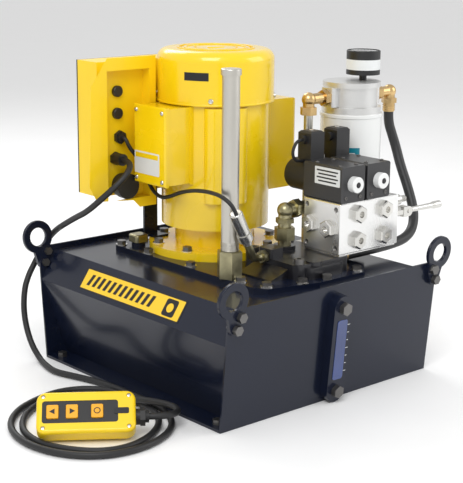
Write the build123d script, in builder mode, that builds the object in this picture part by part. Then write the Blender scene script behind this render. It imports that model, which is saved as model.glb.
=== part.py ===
from build123d import *
import math
import os

# Hydraulic power unit. Millimetres, +Z up. The origin is the centre of the base, on the floor.
# The front plate faces -Y, the fan-cooled motor stands upright on the reservoir's deck.

# Reservoir
TANK_HALF_WIDTH = 211
SHEET = 3
PLATE_TOP = 178
PLATE_TOP_Y = 229.9
PLATE_FOOT_Y = 212.9
DECK_Z = 170
DECK_HALF_WIDTH = 181
CREASE_Z = 126.5
TROUGH_FLOOR_Z = 4
TROUGH_FOOT_X = 175

# Base tray
TRAY_THICK = 4
TRAY_BOLT_X, TRAY_BOLT_Y = 196, 190
HEX_AF, HEX_TALL = 13, 7

# Cover plate on the deck
COVER_Z = 178
COVER_X = 110
COVER_REAR_Y, COVER_FRONT_Y = 176, -204

# Lifting lugs
LUG_X, LUG_Z = 208.5, 192.8
LUG_R, LUG_HOLE_R, LUG_THICK = 26, 14.5, 6

# Level gauge
GAUGE_X, GAUGE_SPACING = -3.5, 128
GAUGE_MID_Z = 83

# Motor
MOTOR_X, MOTOR_Y = 7.5, 57
FLANGE_R, FLANGE_TOP = 103.8, 190
NECK_R, NECK_TOP = 63, 221
BODY_R, BODY_TOP = 84.1, 422
FAN_COVER_R, FAN_COVER_TOP = 90.5, 492
SHAFT_R = 12
ROTOR_R, STATOR_R = 42, 76

# Valve manifold
BLOCK_LEFT, BLOCK_RIGHT = 46.5, 173.5
BLOCK_FRONT, BLOCK_REAR = -180, -103.8
BLOCK_Z, BLOCK_TOP = 202.6, 278.8
VALVE_TOP = 332.5
VALVE_XS = (75, 130)
VALVE_FRONT, VALVE_REAR = -177, -98
PIN_Z, PIN_R = 306, 4

# Pump casting and hydraulic fittings
CAST_FRONT, CAST_REAR = -188, -60
CAST_LEFT, CAST_RIGHT = -38, 71
PIPE_X, PIPE_Y, PIPE_R = -97, -99, 12.7
LINK_X, LINK_Y = 22, -88

# Filter
FILTER_X, FILTER_Y = 204, -45
CAN_R, CAN_Z, CAN_TOP = 48.75, 247, 388
HEAD_TOP = 437
DIAL_X, DIAL_Z, DIAL_TOP, DIAL_R = 229, 446, 484, 27
TUBE_X, TUBE_Y, TUBE_TOP = 112, -42, 390
HOSE_R = 8

# Control box
BOX_RIM_Y, BOX_PANEL_Y, BOX_REAR_Y = 100, 118, 200
GLAND_3 = (-133, 359)
GLAND_4 = (-141, 327)

# Gears of the pump
GEAR_TEETH, GEAR_PITCH_R, GEAR_THICK = 12, 18, 16

# Pendant: the middle of its face, its lean and its size
PENDANT_CENTRE = (-362, -114, 41.3)
PENDANT_TURN, PENDANT_LEAN = 36, 42
PENDANT_LONG, PENDANT_WIDE, PENDANT_DEEP = 132, 62, 38
BUTTON_PLACES = (-44.6, -18.8, 14.6)
BUTTON_LONG, BUTTON_WIDE = 16, 20
CORD_R = 4.7

written = []


def save(part, name):
    """Label one finished piece and write it."""
    part.label = name
    export_step(part, "parts/" + name + ".step")
    written.append(name)


def frame_at(x, y, z, out, right=None):
    """A plane at a point whose normal is the direction out."""
    if right is None:
        return Plane(origin=(x, y, z), z_dir=out)
    return Plane(origin=(x, y, z), x_dir=right, z_dir=out)


def post(plane, radius, length, mode=Mode.ADD):
    """Add a round bar that stands on a plane."""
    with BuildSketch(plane) as section:
        Circle(radius)
    extrude(section.sketch, amount=length, mode=mode)


def hex_head(plane, across_flats, length):
    """Add a hexagon prism that stands on a plane."""
    with BuildSketch(plane) as section:
        RegularPolygon(across_flats / 2, 6, major_radius=False)
    extrude(section.sketch, amount=length)


def block(x0, x1, y0, y1, z0, z1, corner=0, mode=Mode.ADD):
    """Add a box between six faces, with its upright edges rounded."""
    with BuildSketch(Plane.XY.offset(z0)) as section:
        with Locations(((x0 + x1) / 2, (y0 + y1) / 2)):
            if corner:
                RectangleRounded(x1 - x0, y1 - y0, corner)
            else:
                Rectangle(x1 - x0, y1 - y0)
    extrude(section.sketch, amount=z1 - z0, mode=mode)


def cord_radii(points):
    """The largest tangent arc that each corner of a route has room for."""
    radii = []
    for before, corner, after in zip(points, points[1:], points[2:]):
        first = Vector(corner) - Vector(before)
        second = Vector(after) - Vector(corner)
        turn = math.radians(first.get_angle(second))
        shorter = min(first.length, second.length)
        radii.append(0.45 * shorter / math.tan(turn / 2))
    return radii


def tube(points, radius):
    """Add a round cord or hose along a route of straight runs and tangent arcs."""
    radii = cord_radii(points)
    with BuildLine() as route:
        FilletPolyline(*points, radius=radii)
    start = Vector(points[1]) - Vector(points[0])
    with BuildSketch(Plane(origin=points[0], z_dir=start)) as section:
        Circle(radius)
    sweep(section.sketch, path=route.wires()[0])
    length = route.wires()[0].length
    print("route radii", [round(value) for value in radii])
    print("length", round(length), "section times length", round(math.pi * radius**2 * length))


os.makedirs("parts", exist_ok=True)


# ---- Reservoir ----

def plate_face(x, z):
    """A plane on the front plate's outer face, with its own Y up the plate."""
    lean = (PLATE_TOP_Y - PLATE_FOOT_Y) / PLATE_TOP
    return Plane(origin=(x, -PLATE_FOOT_Y - lean * z, z), x_dir=(1, 0, 0), z_dir=(0, -1, -lean))


def up_plate(z):
    """The distance up the leaning plate from the floor to a height."""
    return z * math.hypot(1, (PLATE_TOP_Y - PLATE_FOOT_Y) / PLATE_TOP)


def trough_outline(inset):
    """The six-sided section of the trough, with its wall set in."""
    with BuildSketch(Plane.XZ) as outline:
        Polygon(
            (-DECK_HALF_WIDTH, DECK_Z), (-TANK_HALF_WIDTH, CREASE_Z),
            (-TROUGH_FOOT_X, TROUGH_FLOOR_Z), (TROUGH_FOOT_X, TROUGH_FLOOR_Z),
            (TANK_HALF_WIDTH, CREASE_Z), (DECK_HALF_WIDTH, DECK_Z),
            align=None,
        )
        if inset:
            offset(amount=-inset, mode=Mode.REPLACE)
    return outline.sketch


COVER_BOLTS = [(side * 101, y) for side in (-1, 1) for y in (158, -15)]
COVER_BOLTS += [(-101, 88), (-101, -128), (101, 121), (101, -90)]
COVER_BOLTS += [(-50, 167), (50, 167), (-91, -172), (-38, -190), (5, -196.5), (74, -190)]
LUG_BOLTS = [(195.5, 169), (201.5, 152)]
BOLT_R = 4
DECK_HOLE_X, DECK_HOLE_Y = 85, 148

with BuildPart() as tank_trough:
    add(extrude(trough_outline(0), amount=PLATE_TOP_Y, both=True))
    extrude(trough_outline(SHEET), amount=PLATE_TOP_Y, both=True, mode=Mode.SUBTRACT)
    with BuildSketch(Plane.YZ):
        Polygon(
            (-PLATE_TOP_Y + SHEET, PLATE_TOP), (-PLATE_FOOT_Y + SHEET, 0),
            (PLATE_FOOT_Y - SHEET, 0), (PLATE_TOP_Y - SHEET, PLATE_TOP), align=None,
        )
    extrude(amount=TANK_HALF_WIDTH, both=True, mode=Mode.INTERSECT)
    block(-DECK_HOLE_X, DECK_HOLE_X, -DECK_HOLE_Y, DECK_HOLE_Y, DECK_Z - SHEET - 1, DECK_Z + 1,
          corner=20, mode=Mode.SUBTRACT)
    with BuildSketch(Plane.XY.offset(DECK_Z - SHEET - 1)):
        with Locations(*COVER_BOLTS):
            Circle(BOLT_R)
    extrude(amount=SHEET + 2, mode=Mode.SUBTRACT)
save(tank_trough.part, "tank_trough")


def front_sheet():
    """The leaning front plate with the holes for its lugs and its level gauge."""
    with BuildPart() as sheet:
        with BuildSketch(Plane.YZ):
            Polygon(
                (-PLATE_TOP_Y, PLATE_TOP), (-PLATE_TOP_Y + SHEET, PLATE_TOP),
                (-PLATE_FOOT_Y + SHEET, 0), (-PLATE_FOOT_Y, 0), align=None,
            )
        extrude(amount=TANK_HALF_WIDTH, both=True)
        for x, z in LUG_BOLTS:
            for side in (-1, 1):
                with BuildSketch(plate_face(side * x, z)):
                    Circle(BOLT_R)
                extrude(amount=SHEET * 2, both=True, mode=Mode.SUBTRACT)
    return sheet.part


with BuildPart() as front_plate:
    add(front_sheet())
    for end in (-1, 1):
        with BuildSketch(plate_face(GAUGE_X, GAUGE_MID_Z)):
            with Locations((0, end * GAUGE_SPACING / 2)):
                Circle(BOLT_R)
        extrude(amount=SHEET * 2, both=True, mode=Mode.SUBTRACT)

with BuildPart() as end_plates:
    add(front_plate.part)
    add(mirror(front_sheet(), about=Plane.XZ))
save(end_plates.part, "end_plates")

TRAY_BOLTS = [(sx * TRAY_BOLT_X, sy * TRAY_BOLT_Y) for sx in (-1, 1) for sy in (-1, 1)]

with BuildPart() as base_tray:
    edge_y = PLATE_FOOT_Y - SHEET - 0.2
    block(-TANK_HALF_WIDTH, TANK_HALF_WIDTH, -edge_y, edge_y, 0, TRAY_THICK)
    with BuildSketch(Plane.XY):
        with Locations(*TRAY_BOLTS):
            Circle(BOLT_R)
    extrude(amount=TRAY_THICK, mode=Mode.SUBTRACT)
save(base_tray.part, "base_tray")

# ---- Lifting lugs ----

def front_lug(side):
    """One lug: a ring above the plate's corner and a tail that is bolted down."""
    ring = (side * LUG_X, up_plate(LUG_Z))
    bolts = [(side * x, up_plate(z)) for x, z in LUG_BOLTS]
    with BuildPart() as lug:
        with BuildSketch(plate_face(0, 0)):
            with Locations(ring):
                Circle(LUG_R)
            with BuildSketch(mode=Mode.PRIVATE) as tail:
                with Locations(ring):
                    Circle(LUG_HOLE_R)
                with Locations(*bolts):
                    Circle(LUG_R / 2.6)
                make_hull()
            add(tail.sketch)
            with Locations(ring):
                Circle(LUG_HOLE_R, mode=Mode.SUBTRACT)
            with Locations(*bolts):
                Circle(BOLT_R, mode=Mode.SUBTRACT)
        extrude(amount=LUG_THICK)
        fillet(lug.edges().filter_by(GeomType.CIRCLE).filter_by(
            lambda edge: abs(edge.radius - LUG_R) < 0.1 or abs(edge.radius - LUG_HOLE_R) < 0.1), 1.2)
    return lug.part


with BuildPart() as lifting_lugs:
    for side in (-1, 1):
        add(front_lug(side))
        add(mirror(front_lug(side), about=Plane.XZ))
save(lifting_lugs.part, "lifting_lugs")

# ---- Level gauge on the front plate ----

GAUGE_WIDE, GAUGE_DEEP = 36, 14
WINDOW_WIDE, WINDOW_LONG, WINDOW_DEEP = 20, 92, 8

with BuildPart() as level_gauge_body:
    with BuildSketch(plate_face(GAUGE_X, GAUGE_MID_Z)):
        SlotCenterToCenter(GAUGE_SPACING, GAUGE_WIDE, rotation=90)
        with Locations((0, -GAUGE_SPACING / 2), (0, GAUGE_SPACING / 2)):
            Circle(BOLT_R, mode=Mode.SUBTRACT)
    extrude(amount=GAUGE_DEEP)
    with BuildSketch(plate_face(GAUGE_X, GAUGE_MID_Z).offset(GAUGE_DEEP - WINDOW_DEEP)):
        RectangleRounded(WINDOW_WIDE, WINDOW_LONG, 4)
    extrude(amount=WINDOW_DEEP + 1, mode=Mode.SUBTRACT)
save(level_gauge_body.part, "level_gauge_body")

with BuildPart() as level_gauge_window:
    with BuildSketch(plate_face(GAUGE_X, GAUGE_MID_Z).offset(GAUGE_DEEP - WINDOW_DEEP)):
        RectangleRounded(WINDOW_WIDE, WINDOW_LONG, 4)
    extrude(amount=WINDOW_DEEP + 0.8)
save(level_gauge_window.part, "level_gauge_window")

# ---- Cover plate with the breather's neck, and the bolts ----

BREATHER = (-81, 140)

with BuildPart() as cover_plate:
    with BuildSketch(Plane.XY.offset(DECK_Z)):
        Polygon(
            (-COVER_X, 161), (-95, COVER_REAR_Y), (95, COVER_REAR_Y), (COVER_X, 161),
            (COVER_X, -167), (76, COVER_FRONT_Y), (-16, COVER_FRONT_Y), (-98, -183),
            (-COVER_X, -165), align=None,
        )
        with Locations((MOTOR_X, MOTOR_Y)):
            Circle(30, mode=Mode.SUBTRACT)
        with Locations(*COVER_BOLTS):
            Circle(BOLT_R, mode=Mode.SUBTRACT)
    extrude(amount=COVER_Z - DECK_Z)
    post(Plane((*BREATHER, COVER_Z)), 11, 6)
save(cover_plate.part, "cover_plate")


def bolt(plane, head_af, head_tall, shank):
    """One hexagon bolt whose head stands on the plane and whose shank goes into it."""
    hex_head(plane, head_af, head_tall)
    post(plane, BOLT_R, -shank)


FLANGE_BOLT_PCD_R, FLANGE_BOLT_COUNT, FLANGE_BOLT_TURN = 92, 8, 22.5
flange_angles = [math.radians(FLANGE_BOLT_TURN + 45 * turn) for turn in range(FLANGE_BOLT_COUNT)]
FLANGE_BOLTS = [
    (MOTOR_X + FLANGE_BOLT_PCD_R * math.cos(angle), MOTOR_Y + FLANGE_BOLT_PCD_R * math.sin(angle))
    for angle in flange_angles
]

with BuildPart() as hex_bolts:
    for x, y in COVER_BOLTS:
        bolt(Plane.XY.offset(COVER_Z).shift_origin((x, y, COVER_Z)), HEX_AF, HEX_TALL, 14)
    for x, y in TRAY_BOLTS:
        bolt(Plane.XY.offset(TRAY_THICK).shift_origin((x, y, TRAY_THICK)), HEX_AF, HEX_TALL, 4)
    for x, y in FLANGE_BOLTS:
        bolt(Plane((x, y, FLANGE_TOP)), HEX_AF, HEX_TALL, FLANGE_TOP - COVER_Z)
    for x, z in LUG_BOLTS:
        for side in (-1, 1):
            front = plate_face(side * x, z).offset(LUG_THICK)
            bolt(front, HEX_AF, HEX_TALL, LUG_THICK + SHEET + 5)
            hex_head(front.offset(-LUG_THICK - SHEET - 5), 11, 5)
    for end in (-1, 1):
        gauge = plate_face(GAUGE_X, GAUGE_MID_Z)
        middle = gauge.from_local_coords((0, end * GAUGE_SPACING / 2, GAUGE_DEEP))
        bolt(Plane(origin=middle, z_dir=gauge.z_dir), 17, 8, GAUGE_DEEP + SHEET)
    front_lug_bolts = hex_bolts.solids().filter_by(
        lambda solid: solid.center().Y < -PLATE_FOOT_Y and abs(solid.center().X) > 180)
    add(mirror(Compound(front_lug_bolts), about=Plane.XZ))
save(hex_bolts.part, "hex_bolts")

# ---- Motor ----

BEARING_R, BEARING_TALL = 24, 9
RUNNING = 0.05


def motor_plane(z):
    """A level plane centred on the motor's axis."""
    return Plane((MOTOR_X, MOTOR_Y, z))


with BuildPart() as motor_flange:
    post(motor_plane(COVER_Z), FLANGE_R, FLANGE_TOP - COVER_Z)
    post(motor_plane(FLANGE_TOP), NECK_R, NECK_TOP - FLANGE_TOP)
    post(motor_plane(COVER_Z), 30, NECK_TOP - COVER_Z, mode=Mode.SUBTRACT)
    with BuildSketch(Plane.XY.offset(COVER_Z)):
        with Locations(*FLANGE_BOLTS):
            Circle(BOLT_R)
    extrude(amount=FLANGE_TOP - COVER_Z, mode=Mode.SUBTRACT)
save(motor_flange.part, "motor_flange")

with BuildPart() as motor_shell:
    post(motor_plane(NECK_TOP), BODY_R, BODY_TOP - NECK_TOP)
    with BuildSketch(Plane((MOTOR_X, MOTOR_Y, 265), x_dir=(0.875, -0.485, 0))):
        with Locations((0, -45)):
            RectangleRounded(66, 92, 14)
    extrude(amount=144)
    post(motor_plane(NECK_TOP + BEARING_TALL), STATOR_R, BODY_TOP - NECK_TOP - 2 * BEARING_TALL,
         mode=Mode.SUBTRACT)
    post(motor_plane(NECK_TOP), BEARING_R, BODY_TOP - NECK_TOP, mode=Mode.SUBTRACT)
save(motor_shell.part, "motor_shell")

with BuildPart() as motor_bearings:
    for z in (NECK_TOP, BODY_TOP - BEARING_TALL):
        post(motor_plane(z), BEARING_R, BEARING_TALL)
    post(motor_plane(NECK_TOP), SHAFT_R + RUNNING, BODY_TOP - NECK_TOP, mode=Mode.SUBTRACT)
save(motor_bearings.part, "motor_bearings")

STATOR_Z, STATOR_TOP = 250, 392

with BuildPart() as stator_core:
    post(motor_plane(STATOR_Z), STATOR_R, STATOR_TOP - STATOR_Z)
    post(motor_plane(STATOR_Z), ROTOR_R + 0.8, STATOR_TOP - STATOR_Z, mode=Mode.SUBTRACT)
save(stator_core.part, "stator_core")

SHAFT_FOOT, SHAFT_TOP = 106, 470

with BuildPart() as rotor_shaft:
    post(motor_plane(SHAFT_FOOT), SHAFT_R, SHAFT_TOP - SHAFT_FOOT)
    chamfer(rotor_shaft.edges().filter_by(GeomType.CIRCLE), 1)
    post(motor_plane(STATOR_Z + 2), ROTOR_R, STATOR_TOP - STATOR_Z - 4)
save(rotor_shaft.part, "rotor_shaft")

FAN_Z, FAN_R, FAN_TALL, BLADES = 436, 76, 26, 8

with BuildPart() as motor_fan:
    post(motor_plane(FAN_Z), 26, FAN_TALL)
    with BuildSketch(motor_plane(FAN_Z)):
        with PolarLocations(FAN_R / 2, BLADES):
            Rectangle(FAN_R, 4)
    extrude(amount=FAN_TALL)
    post(motor_plane(FAN_Z), SHAFT_R, FAN_TALL, mode=Mode.SUBTRACT)
save(motor_fan.part, "motor_fan")

COVER_WALL = 2.5
FAN_COVER_Z = 412

with BuildPart() as fan_cover:
    post(motor_plane(FAN_COVER_Z), FAN_COVER_R, FAN_COVER_TOP - FAN_COVER_Z)
    fillet(fan_cover.edges().group_by(Axis.Z)[-1], 16)
    post(motor_plane(FAN_COVER_Z), FAN_COVER_R - COVER_WALL, 50, mode=Mode.SUBTRACT)
    post(motor_plane(FAN_COVER_Z), FAN_COVER_R - 16, FAN_COVER_TOP - FAN_COVER_Z - COVER_WALL * 2,
         mode=Mode.SUBTRACT)
    with BuildSketch(motor_plane(FAN_COVER_Z)):
        with PolarLocations(FAN_COVER_R - 4, 4, start_angle=45):
            Rectangle(6, 14)
        Circle(BODY_R, mode=Mode.SUBTRACT)
    extrude(amount=8)
    with BuildSketch(motor_plane(FAN_COVER_TOP - 1.4)):
        Circle(56)
        Circle(52, mode=Mode.SUBTRACT)
        Circle(34)
        Circle(31, mode=Mode.SUBTRACT)
    extrude(amount=2, mode=Mode.SUBTRACT)
save(fan_cover.part, "fan_cover")

# Terminal box on the motor's left, with its lid facing -X
TERM_LEFT, TERM_RIGHT = -122, -60
TERM_Y0, TERM_Y1 = 19, 95
TERM_Z, TERM_TOP = 293, 422
LID_THICK = 7

with BuildPart() as terminal_box:
    block(TERM_LEFT + LID_THICK, TERM_RIGHT, TERM_Y0 + 2, TERM_Y1 - 2, TERM_Z + 2, TERM_TOP - 12)
    block(-74, TERM_RIGHT, TERM_Y0, TERM_Y1, TERM_Z, TERM_TOP - 11)
    post(motor_plane(TERM_Z - 1), BODY_R, TERM_TOP - TERM_Z + 20, mode=Mode.SUBTRACT)
    block(TERM_LEFT, -80, TERM_Y0 + 5, TERM_Y1 - 5, TERM_Z + 5, TERM_TOP - 15, mode=Mode.SUBTRACT)
    post(motor_plane(TERM_Z - 1), BODY_R, TERM_TOP - TERM_Z + 20, mode=Mode.SUBTRACT)
save(terminal_box.part, "terminal_box")

with BuildPart() as terminal_lid:
    block(TERM_LEFT, TERM_LEFT + LID_THICK, TERM_Y0, TERM_Y1, TERM_Z, TERM_TOP - 10)
    fillet(terminal_lid.edges().group_by(Axis.X)[0], 2.5)
save(terminal_lid.part, "terminal_lid")

CAP_RIGHT, CAP_Y0, CAP_Y1, CAP_Z, CAP_TOP = 143, 12, 102, 268, 410

with BuildPart() as capacitor_cover:
    block(60, CAP_RIGHT, CAP_Y0, CAP_Y1, CAP_Z, CAP_TOP)
    fillet(capacitor_cover.edges().group_by(Axis.X)[-1], 14)
    post(motor_plane(CAP_Z - 1), BODY_R, CAP_TOP - CAP_Z + 2, mode=Mode.SUBTRACT)
save(capacitor_cover.part, "capacitor_cover")

# ---- Pump in the oil, under the cover ----

PUMP_FOOT, GEAR_Z = 100, 112
IDLER_Y = MOTOR_Y - 2 * GEAR_PITCH_R
IDLER_SHAFT_R = 8
TIP_R, ROOT_R = GEAR_PITCH_R + 3, GEAR_PITCH_R - 3.8


def gear(z, centre_y, first_angle, bore):
    """A spur gear with thin straight-flanked teeth, so that the mesh has backlash."""
    with BuildPart() as wheel:
        with BuildSketch(Plane((MOTOR_X, centre_y, z))):
            Circle(ROOT_R)
            with PolarLocations(0, GEAR_TEETH, start_angle=first_angle):
                Polygon((ROOT_R - 1, -1.7), (TIP_R, -1), (TIP_R, 1), (ROOT_R - 1, 1.7), align=None)
            if bore:
                Circle(bore, mode=Mode.SUBTRACT)
        extrude(amount=GEAR_THICK)
        if not bore:
            post(Plane((MOTOR_X, centre_y, z - 5)), IDLER_SHAFT_R, GEAR_THICK + 15)
    return wheel.part


drive_gear = gear(GEAR_Z, MOTOR_Y, 0, SHAFT_R)
save(drive_gear, "drive_gear")
idler_gear = gear(GEAR_Z, IDLER_Y, 15, 0)
save(idler_gear, "idler_gear")

with BuildPart() as pump_body:
    block(-30, 45, -12, 92, PUMP_FOOT, DECK_Z, corner=8)
    for y in (MOTOR_Y, IDLER_Y):
        post(Plane((MOTOR_X, y, GEAR_Z - 0.3)), TIP_R + 0.4, GEAR_THICK + 0.6, mode=Mode.SUBTRACT)
    post(motor_plane(SHAFT_FOOT - 1), SHAFT_R + RUNNING, DECK_Z, mode=Mode.SUBTRACT)
    post(Plane((MOTOR_X, IDLER_Y, GEAR_Z - 5.5)), IDLER_SHAFT_R + RUNNING, GEAR_THICK + 16,
         mode=Mode.SUBTRACT)
    post(Plane((MOTOR_X, IDLER_Y, PUMP_FOOT - 1)), 5, 7, mode=Mode.SUBTRACT)
save(pump_body.part, "pump_body")

with BuildPart() as suction_strainer:
    post(Plane((MOTOR_X, IDLER_Y - 22, 20)), 26, 55)
    post(Plane((MOTOR_X, IDLER_Y - 22, 75)), 9, PUMP_FOOT - 75)
    with BuildSketch(Plane((MOTOR_X, IDLER_Y - 22, 26))):
        with PolarLocations(26, 24):
            Circle(2)
    extrude(amount=43, mode=Mode.SUBTRACT)
save(suction_strainer.part, "suction_strainer")

# ---- Pump casting on the cover ----

CAST_TOP = 200
ELBOW_Y, ELBOW_Z = -110, 202
PORT_Y, PORT_Z = -140, 187
CAST_SCREWS = [(-26, -170), (-26, -74), (45, -74)]
SIDE_SCREWS = [(-110.5, 270), (-171, 270), (-110.5, 211.5), (-171, 211.5)]
SCREW_R = 4

with BuildPart() as pump_casting:
    block(CAST_LEFT, CAST_RIGHT, CAST_FRONT + 8, CAST_REAR, COVER_Z, CAST_TOP, corner=12)
    block(-22, 52, CAST_FRONT, -150, COVER_Z, CAST_TOP - 5, corner=10)
    block(60, 160, -128, -105, COVER_Z, CAST_TOP, corner=4)
    block(CAST_LEFT, -12, ELBOW_Y - 14, ELBOW_Y + 14, CAST_TOP - 8, ELBOW_Z + 12, corner=4)
    post(Plane((LINK_X, LINK_Y, CAST_TOP)), 17, 6)
    post(Plane((0, -174, CAST_TOP - 5)), 12, 7)
    with BuildSketch(Plane.XZ.offset(90)):
        Polygon((CAST_LEFT, COVER_Z), (CAST_LEFT, 192), (-50, 187), (-72, 180), (-72, COVER_Z),
                align=None)
    extrude(amount=70)
    with BuildSketch(Plane.XZ.offset(-CAST_FRONT - 1)):
        with Locations((-12, 186), (30, 186), (42, 186)):
            Rectangle(4, 14)
    extrude(amount=-20)
    post(frame_at(CAST_RIGHT - 3, PORT_Y, PORT_Z, (1, 0, 0)), 8.8, 3)
    with BuildSketch(Plane.XY.offset(COVER_Z)):
        with Locations(*CAST_SCREWS):
            Circle(BOLT_R)
    extrude(amount=CAST_TOP - COVER_Z, mode=Mode.SUBTRACT)
save(pump_casting.part, "pump_casting")

with BuildPart() as socket_screws:
    for x, y in CAST_SCREWS:
        post(Plane((x, y, CAST_TOP)), 7.5, 8)
        with BuildSketch(Plane((x, y, CAST_TOP + 4))):
            RegularPolygon(4, 6)
        extrude(amount=5, mode=Mode.SUBTRACT)
        post(Plane((x, y, COVER_Z)), BOLT_R, CAST_TOP - COVER_Z)
    for y, z in SIDE_SCREWS:
        post(frame_at(BLOCK_LEFT + 2, y, z, (-1, 0, 0)), SCREW_R, -10)
save(socket_screws.part, "socket_screws")

# ---- Riser pipe and the pipe that carries the filter ----

COUPLING_TOP, PIPE_TOP = 218, 480

with BuildPart() as pipe_coupling:
    hex_head(Plane((PIPE_X, PIPE_Y, COVER_Z)), 33, COUPLING_TOP - COVER_Z)
    chamfer(pipe_coupling.edges().group_by(Axis.Z)[-1], 1.5)
    post(Plane((PIPE_X, PIPE_Y, COVER_Z + 12)), PIPE_R, COUPLING_TOP, mode=Mode.SUBTRACT)

with BuildPart() as steel_pipes:
    post(Plane((PIPE_X, PIPE_Y, COVER_Z + 12)), PIPE_R, PIPE_TOP - 8 - COVER_Z - 12)
    post(Plane((PIPE_X, PIPE_Y, PIPE_TOP - 9)), PIPE_R + 2, 9)
    fillet(steel_pipes.edges().group_by(Axis.Z)[-1], 2)
    post(Plane((TUBE_X, TUBE_Y, COVER_Z)), 7, TUBE_TOP - COVER_Z)
    block(TUBE_X - 22, TUBE_X + 10, TUBE_Y - 14, TUBE_Y + 14, COVER_Z, COVER_Z + 10, corner=4)
save(steel_pipes.part, "steel_pipes")

# ---- Manifold with its plugs, sub-plate and screws ----

FRONT_PLUGS = [(83.6, 260.8), (140.2, 260.8), (83.5, 221), (140.3, 221)]
SIDE_PLUGS = [(-118.6, 241), (-157, 239.5)]
PLUG_AF, PLUG_PROUD, PLUG_SHANK, PLUG_R = 23.5, 9, 12, 9
STEM_Y, STEM_Z = -158, 244
RELIEF_Y, RELIEF_Z = -126, 254
LINK_TOP_Z, LINK_ARM_X = 259, 72


def front_ports():
    """Planes on the manifold's front face, one for each of its plugs."""
    return [frame_at(x, BLOCK_FRONT, z, (0, -1, 0)) for x, z in FRONT_PLUGS]


def side_ports():
    """Planes on the manifold's left face, one for each of its plugs."""
    return [frame_at(BLOCK_LEFT, y, z, (-1, 0, 0)) for y, z in SIDE_PLUGS]


with BuildPart() as manifold_block:
    block(BLOCK_LEFT, BLOCK_RIGHT, BLOCK_FRONT, BLOCK_REAR, BLOCK_Z, BLOCK_TOP)
    chamfer(manifold_block.edges(), 1.2)
    for port in front_ports() + side_ports():
        post(port, PLUG_R, -PLUG_SHANK, mode=Mode.SUBTRACT)
    for y, z in SIDE_SCREWS:
        post(frame_at(BLOCK_LEFT, y, z, (-1, 0, 0)), SCREW_R, -12, mode=Mode.SUBTRACT)
    block(BLOCK_LEFT + 3, BLOCK_RIGHT - 3, BLOCK_FRONT + 3, BLOCK_REAR - 2, CAST_TOP, BLOCK_Z)
save(manifold_block.part, "manifold_block")

with BuildPart() as port_plugs:
    for port in front_ports() + side_ports():
        hex_head(port, PLUG_AF, PLUG_PROUD)
        chamfer(port_plugs.faces().sort_by_distance(port.offset(PLUG_PROUD).origin)[0].edges(), 1.5)
        post(port, PLUG_R, -PLUG_SHANK)
    for port in front_ports() + side_ports():
        post(port.offset(PLUG_PROUD - 5), 5, 6, mode=Mode.SUBTRACT)
save(port_plugs.part, "port_plugs")

# ---- Valves ----

VALVE_HALF = 25
NUT_R, NUT_LONG = 12, 11
PIN_PROUD = 1.4
COIL_END, COIL_R = -50, 24.5


def valve_axis(x, y):
    """A plane that looks along -Y from a valve's own axis."""
    return frame_at(x, y, PIN_Z, (0, -1, 0))


with BuildPart() as valve_bodies:
    for x in VALVE_XS:
        block(x - VALVE_HALF, x + VALVE_HALF, VALVE_FRONT, VALVE_REAR, BLOCK_TOP, VALVE_TOP)
    chamfer(valve_bodies.edges().filter_by(Axis.Y), 2.5)
    for x in VALVE_XS:
        post(valve_axis(x, VALVE_FRONT), PIN_R + 0.4, -20, mode=Mode.SUBTRACT)
        for across in (-15, 15):
            post(frame_at(x + across, VALVE_FRONT, 286, (0, -1, 0)), 3, -3, mode=Mode.SUBTRACT)
save(valve_bodies.part, "valve_bodies")

with BuildPart() as coil_nuts:
    for x in VALVE_XS:
        post(valve_axis(x, VALVE_FRONT), NUT_R, NUT_LONG)
    fillet(coil_nuts.edges().group_by(Axis.Y)[0], 1.5)
    for x in VALVE_XS:
        post(valve_axis(x, VALVE_FRONT), PIN_R + 0.4, NUT_LONG, mode=Mode.SUBTRACT)
save(coil_nuts.part, "coil_nuts")

for x, side in zip(VALVE_XS, ("left", "right")):
    with BuildPart() as override_pin:
        post(valve_axis(x, VALVE_FRONT + 14), PIN_R, 14 + NUT_LONG + PIN_PROUD)
        fillet(override_pin.edges().group_by(Axis.Y)[0], 1.5)
    save(override_pin.part, "override_pin_" + side)

with BuildPart() as valve_coils:
    for x in VALVE_XS:
        post(valve_axis(x, COIL_END), COIL_R, VALVE_REAR * -1 + COIL_END)
    fillet(valve_coils.edges().group_by(Axis.Y)[-1], 8)
    for x in VALVE_XS:
        block(x - 13, x + 13, VALVE_REAR, -75, PIN_Z, VALVE_TOP)
save(valve_coils.part, "valve_coils")

PLUG_HALF, DIN_Y, DIN_TOP = 14, -87, 375

with BuildPart() as din_plugs:
    for x in VALVE_XS:
        block(x - PLUG_HALF, x + PLUG_HALF, DIN_Y - PLUG_HALF, DIN_Y + PLUG_HALF, VALVE_TOP, DIN_TOP)
    chamfer(din_plugs.edges().group_by(Axis.Z)[-1], 3)
    for x in VALVE_XS:
        post(frame_at(x - PLUG_HALF, DIN_Y, 362, (-1, 0, 0)), 6.5, 6)
save(din_plugs.part, "din_plugs")

# ---- Link pipe from the casting to the manifold's rear ----

with BuildPart() as link_pipe:
    post(Plane((LINK_X, LINK_Y, CAST_TOP + 6)), 10, LINK_TOP_Z - CAST_TOP - 6)
    hex_head(Plane((LINK_X, LINK_Y, CAST_TOP + 14)), 28, 19)
    hex_head(Plane((LINK_X, LINK_Y, 240)), 25, 7)
    with Locations((LINK_X, LINK_Y, LINK_TOP_Z), (LINK_ARM_X, LINK_Y, LINK_TOP_Z)):
        Sphere(12)
    post(frame_at(LINK_X, LINK_Y, LINK_TOP_Z, (1, 0, 0)), 10, LINK_ARM_X - LINK_X)
    hex_head(frame_at(LINK_X + 16, LINK_Y, LINK_TOP_Z, (1, 0, 0)), 25, 12)
    post(frame_at(LINK_ARM_X, LINK_Y, LINK_TOP_Z, (0, -1, 0)), 10, LINK_Y - BLOCK_REAR)

# ---- Relief valve and release lever on the manifold's right face ----

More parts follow.
